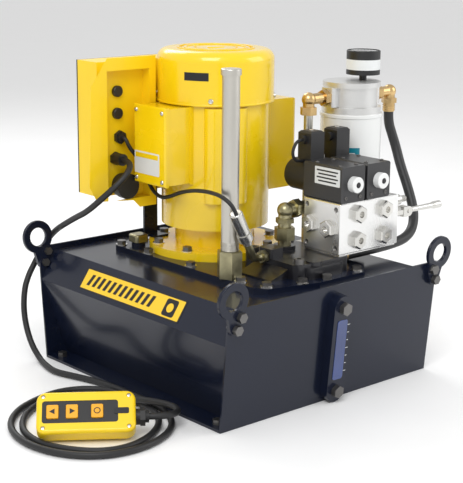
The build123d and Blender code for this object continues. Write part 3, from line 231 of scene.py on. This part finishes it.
BLUE_WINDOW = material("blue_window", (0.012, 0.035, 0.16), 0.1, coat=1, tone=0.25,
                       tone_scale=14, grain=0)
PAPER = material("filter_paper", (0.74, 0.66, 0.45), 0.8, grain=0.5, stretch=(30, 30, 1))
MESH = material("strainer_mesh", (0.45, 0.45, 0.42), 0.4, metallic=1, grain=0.5, grain_scale=1500)
BOARD = material("board_green", (0.02, 0.20, 0.07), 0.35, coat=0.4, tone=0.2, tone_scale=90,
                 grain=0.1)
STATOR = material("stator_steel", (0.20, 0.20, 0.21), 0.42, metallic=0.8, grain=0.8,
                  stretch=(1, 1, 40))
TEAL = material("teal_ink", (0.0, 0.22, 0.30), 0.3, coat=0.5, tone=0.05, grain=0.01)
INK = material("black_ink", (0.006, 0.006, 0.008), 0.35, tone=0.05, grain=0.01)
LABEL_YELLOW = material("label_yellow", (0.93, 0.58, 0.01), 0.3, coat=0.4, tone=0.03, grain=0.02)
PALE_LABEL = material("pale_label", (0.72, 0.74, 0.74), 0.35, coat=0.3, tone=0.04, grain=0.02)
ORANGE_KEY = material("orange_key", (0.86, 0.40, 0.01), 0.38, tone=0.04, grain=0.1,
                      grain_scale=1200)
LENS = material("gauge_lens", (0.95, 0.97, 0.98), 0.03, tone=0.01, grain=0, transmission=1.0)

NODE_MATERIALS = {
    BLACK_ENAMEL: ("tank_trough", "end_plates", "base_tray", "lifting_lugs", "level_gauge_body",
                   "cover_plate", "ebox_bracket"),
    CAST_BLACK: ("pump_casting",),
    YELLOW_ENAMEL: ("motor_flange", "motor_shell", "fan_cover", "terminal_box", "terminal_lid",
                    "capacitor_cover"),
    YELLOW_PLASTIC: ("ebox_shell", "pendant_upper", "pendant_lower"),
    BLACK_PLASTIC: ("ebox_connectors", "pendant_keypad", "valve_coils", "din_plugs", "motor_fan",
                    "ebox_back_plate", "override_pin_left", "override_pin_right", "pressure_gauge"),
    RUBBER: ("pendant_gland",),
    ORANGE_KEY: ("advance_button", "retract_button", "stop_button"),
    DARK_BOLT: ("hex_bolts", "socket_screws"),
    BRIGHT_STEEL: ("motor_bearings", "rotor_shaft", "drive_gear", "idler_gear", "release_lever",
                   "valve_stems", "transducer_body", "port_plugs"),
    PIPE_STEEL: ("steel_pipes",),
    ALUMINIUM: ("manifold_block",),
    CAST_ALUMINIUM: ("filter_head",),
    OLIVE_ZINC: ("zinc_fittings", "breather_cap"),
    BRASS: ("brass_fittings",),
    VALVE_IRON: ("valve_bodies", "pump_body"),
    WHITE_GLOSS: ("coil_nuts", "filter_can"),
    BLUE_WINDOW: ("level_gauge_window",),
    PAPER: ("filter_element",),
    MESH: ("suction_strainer",),
    BOARD: ("control_board",),
    STATOR: ("stator_core",),
    INK: ("gauge_needle",),
}
for look, names in NODE_MATERIALS.items():
    for name in names:
        nodes[name].data.materials.clear()
        nodes[name].data.materials.append(look)
for piece, look in ((pendant_cord, RUBBER), (hose, HOSE_COVER), (cable, RUBBER),
                    (din_cable, RUBBER)):
    piece.data.materials.append(look)

# ---- Helpers for detail pieces, in millimetres ----


def finish_mesh(name, mesh_maker, look, body="root", bevel=0.0, smooth=True):
    """Turn a bmesh into a piece that rides on a body."""
    mesh = bpy.data.meshes.new(name)
    work = bmesh.new()
    mesh_maker(work)
    bmesh.ops.scale(work, vec=(MM, MM, MM), verts=work.verts)
    work.to_mesh(mesh)
    work.free()
    piece = bpy.data.objects.new(name, mesh)
    bpy.context.collection.objects.link(piece)
    if bevel:
        rounding = piece.modifiers.new("rounding", "BEVEL")
        rounding.width = bevel * MM
        rounding.segments = 3
        rounding.limit_method = "ANGLE"
    if smooth:
        for face in mesh.polygons:
            face.use_smooth = True
        mesh.set_sharp_from_angle(angle=math.radians(35))
    mesh.materials.append(look)
    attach(piece, body)
    return piece


def facing(place, out, up=(0, 0, 1)):
    """A matrix whose Z looks along out and whose Y leans towards up."""
    out = Vector(out).normalized()
    side = Vector(up).cross(out).normalized()
    turned_to = Matrix((side, out.cross(side), out)).transposed().to_4x4()
    return Matrix.Translation(Vector(place)) @ turned_to


def turned(work, matrix, profile, steps=40):
    """Spin a profile of (radius, height) pairs round a matrix's Z axis."""
    rings = []
    for radius, height in profile:
        ring = []
        for step in range(steps):
            angle = 2 * math.pi * step / steps
            place = Vector((radius * math.cos(angle), radius * math.sin(angle), height))
            ring.append(work.verts.new(matrix @ place))
        rings.append(ring)
    for low, high in zip(rings, rings[1:]):
        for step in range(steps):
            after = (step + 1) % steps
            work.faces.new((low[step], low[after], high[after], high[step]))
    work.faces.new(list(reversed(rings[0])))
    work.faces.new(rings[-1])


def ring_band(work, matrix, inner, outer, bottom, top, steps=40):
    """A washer-like ring round a matrix's Z axis."""
    corners = ((inner, bottom), (outer, bottom), (outer, top), (inner, top))
    rings = []
    for radius, height in corners:
        ring = []
        for step in range(steps):
            angle = 2 * math.pi * step / steps
            place = Vector((radius * math.cos(angle), radius * math.sin(angle), height))
            ring.append(work.verts.new(matrix @ place))
        rings.append(ring)
    for index in range(4):
        low, high = rings[index], rings[(index + 1) % 4]
        for step in range(steps):
            after = (step + 1) % steps
            work.faces.new((low[step], low[after], high[after], high[step]))


def slab(work, matrix, outline, bottom, top):
    """A flat plate with an outline given in a matrix's own X and Y."""
    low = [work.verts.new(matrix @ Vector((x, y, bottom))) for x, y in outline]
    high = [work.verts.new(matrix @ Vector((x, y, top))) for x, y in outline]
    work.faces.new(list(reversed(low)))
    work.faces.new(high)
    for index in range(len(low)):
        after = (index + 1) % len(low)
        work.faces.new((low[index], low[after], high[after], high[index]))


def rounded(width, height, corner, x=0.0, y=0.0, steps=5):
    """The outline of a rectangle with round corners."""
    points = []
    for quarter, (sx, sy) in enumerate(((1, 1), (-1, 1), (-1, -1), (1, -1))):
        for step in range(steps + 1):
            angle = math.pi / 2 * (quarter + step / steps)
            points.append((x + sx * (width / 2 - corner) + corner * math.cos(angle),
                           y + sy * (height / 2 - corner) + corner * math.sin(angle)))
    return points


def plate(name, matrix, outline, thick, look, body="root", bevel=0.3, bottom=0.0):
    """A thin piece that lies on a surface."""
    return finish_mesh(name, lambda work: slab(work, matrix, outline, bottom, bottom + thick), look,
                       body, bevel)


def screw_head(name, places, radius, tall, look, body="root", slot=True):
    """Domed screw heads, each with a recess, as one piece."""
    def build(work):
        for matrix in places:
            turned(work, matrix, [(radius, 0), (radius, tall * 0.5), (radius * 0.8, tall * 0.9),
                                  (radius * 0.45, tall), (radius * 0.4, tall * 0.55)], 24)
    return finish_mesh(name, build, look, body)


# ---- Reservoir: label, gauge marks and washers ----

DECK_X, DECK_Z, COVER_Z = 181, 170, 178
SLOPE_FALL, SLOPE_RUN = 43.5, 30
SLOPE = (-SLOPE_FALL, 0, SLOPE_RUN)


def slope_place(y, down):
    """A place on the reservoir's upper left slope, a distance below the deck's edge."""
    share = down / math.hypot(SLOPE_FALL, SLOPE_RUN)
    return (-DECK_X - SLOPE_RUN * share, y, DECK_Z - SLOPE_FALL * share)


LABEL_WIDE, LABEL_TALL, LABEL_RIM = 240, 36, 5
LABEL_Y, LABEL_DOWN = 5, 28
SQUARE_X, SQUARE_SIZE = 92, 26
BAR_COUNT, BAR_PITCH, BAR_FIRST, BAR_HALF, BAR_LEAN, BAR_UP = 12, 13.5, -100, 3.5, 2.5, 9
label_face = facing(slope_place(LABEL_Y, LABEL_DOWN), SLOPE)
plate("tank_label", label_face, rounded(LABEL_WIDE, LABEL_TALL, 2), 0.35, INK, bevel=0)
plate("tank_label_field", label_face,
      rounded(LABEL_WIDE - LABEL_RIM, LABEL_TALL - LABEL_RIM, 1.5), 0.3,
      LABEL_YELLOW, bevel=0, bottom=0.3)


def label_stripes(work):
    """A plain band of slanted bars and a square, in place of any lettering."""
    for index in range(BAR_COUNT):
        x = BAR_FIRST + BAR_PITCH * index
        low, high = x - BAR_LEAN, x + BAR_LEAN
        slab(work, label_face, [(low - BAR_HALF, -BAR_UP), (low + BAR_HALF, -BAR_UP),
                                (high + BAR_HALF, BAR_UP), (high - BAR_HALF, BAR_UP)], 0.55, 0.8)
    slab(work, label_face, rounded(SQUARE_SIZE, SQUARE_SIZE, 4, x=SQUARE_X), 0.55, 0.8)


finish_mesh("tank_label_bars", label_stripes, INK, smooth=False)
plate("tank_label_square", label_face, rounded(14, 14, 7, x=SQUARE_X), 0.25, LABEL_YELLOW,
      bevel=0, bottom=0.75)

PLATE_OUT = (0, -178, -17)
LEVEL_PLACE = (-3.5, -235.7, 83)
MARK_COUNT, MARK_PITCH, MARK_X, MARK_LONG, MARK_SHORT = 7, 12, 12.6, 5, 3


def gauge_marks(work):
    """Short level marks beside the window."""
    face = facing(LEVEL_PLACE, PLATE_OUT)
    for index in range(MARK_COUNT):
        wide = MARK_LONG if index % 3 == 0 else MARK_SHORT
        up = MARK_PITCH * (index - MARK_COUNT // 2)
        slab(work, face, rounded(wide, 0.8, 0.3, x=MARK_X, y=up), -0.2, 0.25)


finish_mesh("gauge_marks", gauge_marks, PALE_LABEL, smooth=False)

COVER_BOLTS = [(side * 101, y) for side in (-1, 1) for y in (158, -15)]
COVER_BOLTS += [(-101, 88), (-101, -128), (101, 121), (101, -90), (-50, 167), (50, 167),
                (-91, -172), (-38, -190), (74, -190)]
WASHER = (6.4, 9.2, 0, 1.2, 28)
FAN_AXIS = Vector((7.5, 57, 0))
FLANGE_TOP, FLANGE_BOLTS, FLANGE_BOLT_R = Vector((0, 0, 190)), 8, 92


def outward(angle):
    """A level direction at an angle in degrees from the right side."""
    return Vector((math.cos(math.radians(angle)), math.sin(math.radians(angle)), 0))


def washers(work):
    """A thin washer round each cover bolt and each flange bolt."""
    for x, y in COVER_BOLTS:
        ring_band(work, Matrix.Translation((x, y, COVER_Z)), *WASHER)
    for index in range(FLANGE_BOLTS):
        out = outward(360 / FLANGE_BOLTS * (index + 0.5))
        place = FAN_AXIS + FLANGE_TOP + out * FLANGE_BOLT_R
        ring_band(work, Matrix.Translation(place), *WASHER)


finish_mesh("bolt_washers", washers, BRIGHT_STEEL)

# ---- Motor ----

FAN_SCREWS, FAN_SCREW_R, FAN_SCREW_Z = 4, 90.3, 420
BEAD = (89.5, 91.4, 411.8, 415, 96)
RIDGE_Z, RIDGES, RIDGE_TALL = 491.6, ((57, 60), (46, 50)), 1.8
STRIP_COUNT, STRIP_FIRST, STRIP_STEP, STRIP_Z, STRIP_R = 10, -160, 2.4, 456, 90.5
STRIP_HALF_WIDE, STRIP_HALF_TALL = 2.0, 6


def around_motor(angle, z, radius):
    """A matrix on the motor's round side."""
    out = outward(angle)
    return facing(FAN_AXIS + out * radius + Vector((0, 0, z)), out)


screw_head("fan_cover_screws",
           [around_motor(360 / FAN_SCREWS * (index + 0.5), FAN_SCREW_Z, FAN_SCREW_R)
            for index in range(FAN_SCREWS)], 4, 2.6, BRIGHT_STEEL)


def fan_cover_bead(work):
    """A rolled bead round the fan cover's lower edge."""
    ring_band(work, Matrix.Translation(FAN_AXIS), *BEAD)


finish_mesh("fan_cover_bead", fan_cover_bead, YELLOW_ENAMEL, bevel=0.8)


def fan_cover_ridges(work):
    """Two raised rings and a plain raised badge on the fan cover's top."""
    top = Matrix.Translation(FAN_AXIS + Vector((0, 0, RIDGE_Z)))
    for inner, outer in RIDGES:
        ring_band(work, top, inner, outer, 0, RIDGE_TALL, 96)
    slab(work, top, rounded(30, 12, 5), -0.4, 1.6)


finish_mesh("fan_cover_ridges", fan_cover_ridges, YELLOW_ENAMEL, bevel=0.6)


def badge_strip(work):
    """A plain dark strip, curved round the fan cover."""
    outline = [(-STRIP_HALF_WIDE, -STRIP_HALF_TALL), (STRIP_HALF_WIDE, -STRIP_HALF_TALL),
               (STRIP_HALF_WIDE, STRIP_HALF_TALL), (-STRIP_HALF_WIDE, STRIP_HALF_TALL)]
    for index in range(STRIP_COUNT):
        face = around_motor(STRIP_FIRST + STRIP_STEP * index, STRIP_Z, STRIP_R)
        slab(work, face, outline, -0.1, 0.45)


finish_mesh("fan_cover_strip", badge_strip, INK, smooth=False)

LEFTWARD, RIGHTWARD = (-1, 0, 0), (1, 0, 0)
LID_X, LID_SCREW_YS, LID_SCREW_ZS = -122, (26, 88), (301, 404)
screw_head("terminal_lid_screws",
           [facing((LID_X, y, z), LEFTWARD) for y in LID_SCREW_YS for z in LID_SCREW_ZS],
           3.4, 2.2, BRIGHT_STEEL)
plate("terminal_lid_label", facing((LID_X, 63, 325), LEFTWARD), rounded(60, 34, 2), 0.4,
      PALE_LABEL, bevel=0)
plate("terminal_lid_label_band", facing((LID_X, 63, 336), LEFTWARD), rounded(54, 7, 1), 0.3,
      YELLOW_ENAMEL, bevel=0, bottom=0.35)


def capacitor_ribs(work):
    """Three low ribs across the capacitor cover's outer face."""
    face = facing((143, 57, 340), RIGHTWARD)
    for height in (-44, 0, 44):
        slab(work, face, rounded(60, 3, 1.4, y=height), -0.5, 0.9)


finish_mesh("capacitor_cover_ribs", capacitor_ribs, YELLOW_ENAMEL, bevel=0.4)

# ---- Pipe threads, hose ferrules and cord strain relief ----

THREAD_COUNT, THREAD_Z, THREAD_PITCH = 6, 218.4, 2.2
TOP_CRIMPS, TOP_CRIMP_Z, TOP_CRIMP_PITCH = 4, 383, 3.6
DECK_CRIMPS, DECK_CRIMP_X, DECK_CRIMP_PITCH = 5, 78, 4.4
STRAIN_RIBS, STRAIN_FIRST, STRAIN_PITCH = 3, 4.6, 1.5


def pipe_threads(work):
    """The turns of thread that show above the riser pipe's coupling."""
    for index in range(THREAD_COUNT):
        place = (-97, -99, THREAD_Z + THREAD_PITCH * index)
        ring_band(work, Matrix.Translation(place), 12.2, 13.4, 0, THREAD_PITCH / 2, 40)


finish_mesh("riser_pipe_threads", pipe_threads, PIPE_STEEL, bevel=0.4)


def ferrule_crimps(work):
    """Crimped rings on the hose's two ferrules."""
    for index in range(TOP_CRIMPS):
        place = (293, -45, TOP_CRIMP_Z + TOP_CRIMP_PITCH * index)
        ring_band(work, Matrix.Translation(place), 9.2, 10.4, 0, TOP_CRIMP_PITCH / 2, 40)
    for index in range(DECK_CRIMPS):
        place = (DECK_CRIMP_X + DECK_CRIMP_PITCH * index, -140, 187)
        ring_band(work, facing(place, RIGHTWARD), 8.2, 8.95, 0, DECK_CRIMP_PITCH / 2, 40)


finish_mesh("hose_ferrule_crimps", ferrule_crimps, BRASS, bevel=0.4)


def strain_ribs(work):
    """Ribs round the pendant's gland."""
    for index in range(STRAIN_RIBS):
        place = GLAND_TIP - LONG_AXIS * (STRAIN_FIRST - STRAIN_PITCH * index)
        ring_band(work, facing(place, LONG_AXIS), 7, 8.6, 0, 0.8, 32)


finish_mesh("pendant_gland_ribs", strain_ribs, RUBBER, bevel=0.2)

# ---- Filter can mark, pressure gauge dial and its lens ----

FILTER_AXIS = Vector((204, -45, 0))
GAUGE_AXIS = Vector((229, -45, 0))
CAN_R, CAN_INNER = 48.75, 48.6
DIAL_R, DIAL_Z, TICK_END = 24, 475, 22
TICK_COUNT, TICK_STEP, LONG_EVERY = 31, 9, 5
LENS_PROFILE = [(24.3, 481), (24.3, 483), (18, 483.6), (0.5, 483.9)]


def can_band(half_tall, middle, first, last, out, steps=14):
    """A curved patch on the filter can between two directions, as a mesh maker."""
    def build(work):
        rows = []
        for step in range(steps + 1):
            away = outward(first + (last - first) * step / steps)
            row = []
            for height in (middle - half_tall, middle + half_tall):
                for radius in (CAN_INNER, CAN_R + out):
                    place = FILTER_AXIS + away * radius + Vector((0, 0, height))
                    row.append(work.verts.new(place))
            rows.append(row)
        for one, two in zip(rows, rows[1:]):
            work.faces.new((one[1], two[1], two[3], one[3]))
            work.faces.new((one[0], one[2], two[2], two[0]))
            work.faces.new((one[0], two[0], two[1], one[1]))
            work.faces.new((one[2], one[3], two[3], two[2]))
        for row in (rows[0], rows[-1]):
            work.faces.new((row[0], row[1], row[3], row[2]))
    return build


finish_mesh("filter_can_mark", can_band(15, 322, -152, -118, 0.3), TEAL)
finish_mesh("filter_can_mark_inner", can_band(7, 322, -143, -127, 0.5), WHITE_GLOSS)
finish_mesh("filter_can_band", can_band(5, 286, -165, -105, 0.25), TEAL)


def can_beads(work):
    """The rolled seam at the can's top and a bead above its base."""
    ring_band(work, Matrix.Translation(FILTER_AXIS), 48, 50, 382, 387.6, 80)
    ring_band(work, Matrix.Translation(FILTER_AXIS), 48, 49.4, 262, 264.5, 80)


finish_mesh("filter_can_beads", can_beads, WHITE_GLOSS, bevel=0.9)


def dial_face(work):
    """The gauge's white dial."""
    turned(work, Matrix.Translation(GAUGE_AXIS), [(DIAL_R, DIAL_Z), (DIAL_R, DIAL_Z + 0.4)], 64)


def dial_ticks(work):
    """The dial's scale: long and short ticks over three quarters of a turn."""
    top = Matrix.Translation(GAUGE_AXIS)
    for index in range(TICK_COUNT):
        inner, half = (17, 0.5) if index % LONG_EVERY == 0 else (19.5, 0.25)
        along = outward(90 - TICK_STEP * index).to_2d()
        side = Vector((-along.y, along.x)) * half
        corners = [along * inner - side, along * TICK_END - side,
                   along * TICK_END + side, along * inner + side]
        slab(work, top, [tuple(corner) for corner in corners], DIAL_Z + 0.3, DIAL_Z + 0.55)


def lens_dome(work):
    """The gauge's low glass dome."""
    turned(work, Matrix.Translation(GAUGE_AXIS), LENS_PROFILE, 64)


def gauge_band(work):
    """A pale band round the gauge's case."""
    ring_band(work, Matrix.Translation(GAUGE_AXIS), 26.6, 27.3, 454, 470, 72)


finish_mesh("gauge_dial", dial_face, WHITE_GLOSS)
finish_mesh("gauge_ticks", dial_ticks, INK, smooth=False)
finish_mesh("gauge_lens", lens_dome, LENS)
finish_mesh("gauge_wrap", gauge_band, PALE_LABEL)

# ---- Valves ----

VALVE_XS, VALVE_FRONT, VALVE_TOP, SIDES = (75, 130), -177, 332.4, (-1, 1)
FRONT_SCREW_X, TOP_SCREW_X, TOP_SCREW_YS = 15, 17, (-166, -118)
RULE_COUNT, RULE_TOP, RULE_PITCH, RULE_LONG, RULE_STEP = 4, 8, 5.3, 44, 7
valve_side = facing((50, -148, 316), LEFTWARD)
plate("valve_label", valve_side, rounded(52, 26, 1.5), 0.4, PALE_LABEL, bevel=0)


def valve_label_lines(work):
    """Plain rules across the valve's label, in place of any lettering."""
    for index in range(RULE_COUNT):
        wide = RULE_LONG - RULE_STEP * (index % 2)
        slab(work, valve_side, rounded(wide, 2.2, 0.6, y=RULE_TOP - RULE_PITCH * index), 0.3, 0.55)


finish_mesh("valve_label_lines", valve_label_lines, INK, smooth=False)
screw_head("valve_screws",
           [facing((x + side * FRONT_SCREW_X, VALVE_FRONT, 286), (0, -1, 0))
            for x in VALVE_XS for side in SIDES], 3, 1.6, DARK_BOLT)
screw_head("valve_top_screws",
           [Matrix.Translation((x + side * TOP_SCREW_X, y, VALVE_TOP))
            for x in VALVE_XS for side in SIDES for y in TOP_SCREW_YS], 3.2, 2, DARK_BOLT)
screw_head("din_plug_screws", [Matrix.Translation((x, -87, 374.8)) for x in VALVE_XS],
           3.4, 1.6, BRIGHT_STEEL)

# ---- Pendant: plain key signs, case screws and a plain badge ----

PENDANT_TURN, PENDANT_LEAN = math.radians(36), math.radians(42)
FACE_OUT = Vector((-math.sin(PENDANT_TURN) * math.sin(PENDANT_LEAN),
                   -math.cos(PENDANT_TURN) * math.sin(PENDANT_LEAN), math.cos(PENDANT_LEAN)))
pendant_face = Matrix.Translation((-362, -114, 41.3)) @ Matrix(
    (LONG_AXIS, FACE_OUT.cross(LONG_AXIS), FACE_OUT)).transposed().to_4x4()
ARROW, ARROW_BACK = 4.2, 0.7
SIGN_Z, SIGN_TOP = 1.95, 2.2
STOP_ALONG = 14.6
CASE_SCREW_ALONG, CASE_SCREW_ACROSS = 57, 23


def stop_ring(work):
    """The ring on the stop key."""
    place = pendant_face @ Matrix.Translation((STOP_ALONG, 0, 0))
    ring_band(work, place, 3.4, 4.6, SIGN_Z, SIGN_TOP, 32)


for body, along, way in (("advance_key", -44.6, -1), ("retract_key", -18.8, 1)):
    back = along - way * ARROW * ARROW_BACK
    arrow = [(along + way * ARROW, 0), (back, ARROW * way), (back, -ARROW * way)]
    plate(body + "_sign", pendant_face, arrow, SIGN_TOP - SIGN_Z, INK, body, bevel=0,
          bottom=SIGN_Z)
finish_mesh("stop_key_sign", stop_ring, INK, "stop_key")
screw_head("pendant_screws",
           [pendant_face @ Matrix.Translation((along * CASE_SCREW_ALONG,
                                               across * CASE_SCREW_ACROSS, -2))
            for along in SIDES for across in SIDES], 2.8, 1.6, BRIGHT_STEEL)
plate("pendant_plain_badge", pendant_face, rounded(20, 9, 2, x=47), 0.35, INK, bevel=0.1)

# ---- Floor and light ----


FLOOR_SIZE, FLOOR_DROP = 30, 0.0005
SURROUND_STRENGTH = 0.75
LAMPS = (("key", (-1.6, -1.2, 2.2), (0, 0, 0.25), 1.4, 34),
         ("fill", (1.8, -1.6, 1.3), (0, 0, 0.25), 1.6, 16),
         ("rim", (0.4, 1.8, 1.9), (0, 0, 0.3), 1.2, 18))


def make_floor():
    """A wide pale floor just under the object."""
    bpy.ops.mesh.primitive_plane_add(size=FLOOR_SIZE, location=(0, 0, -FLOOR_DROP))
    floor = bpy.context.object
    floor.name = "floor"
    floor.data.materials.append(material("floor_pale", (0.93, 0.93, 0.93), 0.7, tone=0.005,
                                         grain=0.0))


def area_light(name, place, target, size, power):
    """A large soft lamp that looks at a point."""
    lamp = bpy.data.lights.new(name, "AREA")
    lamp.size = size
    lamp.energy = power
    holder = bpy.data.objects.new(name, lamp)
    bpy.context.collection.objects.link(holder)
    holder.location = place
    holder.rotation_euler = (Vector(target) - Vector(place)).to_track_quat("-Z", "Y").to_euler()


def make_light():
    """A pale surround, a key from the left and above, a fill from the right, a rim from behind."""
    world = bpy.data.worlds.new("surround")
    bpy.context.scene.world = world
    world.use_nodes = True
    sky = world.node_tree.nodes["Background"]
    sky.inputs["Color"].default_value = (1, 1, 1, 1)
    sky.inputs["Strength"].default_value = SURROUND_STRENGTH
    for lamp in LAMPS:
        area_light(*lamp)


make_floor()
make_light()
bpy.context.scene.view_settings.view_transform = "Standard"
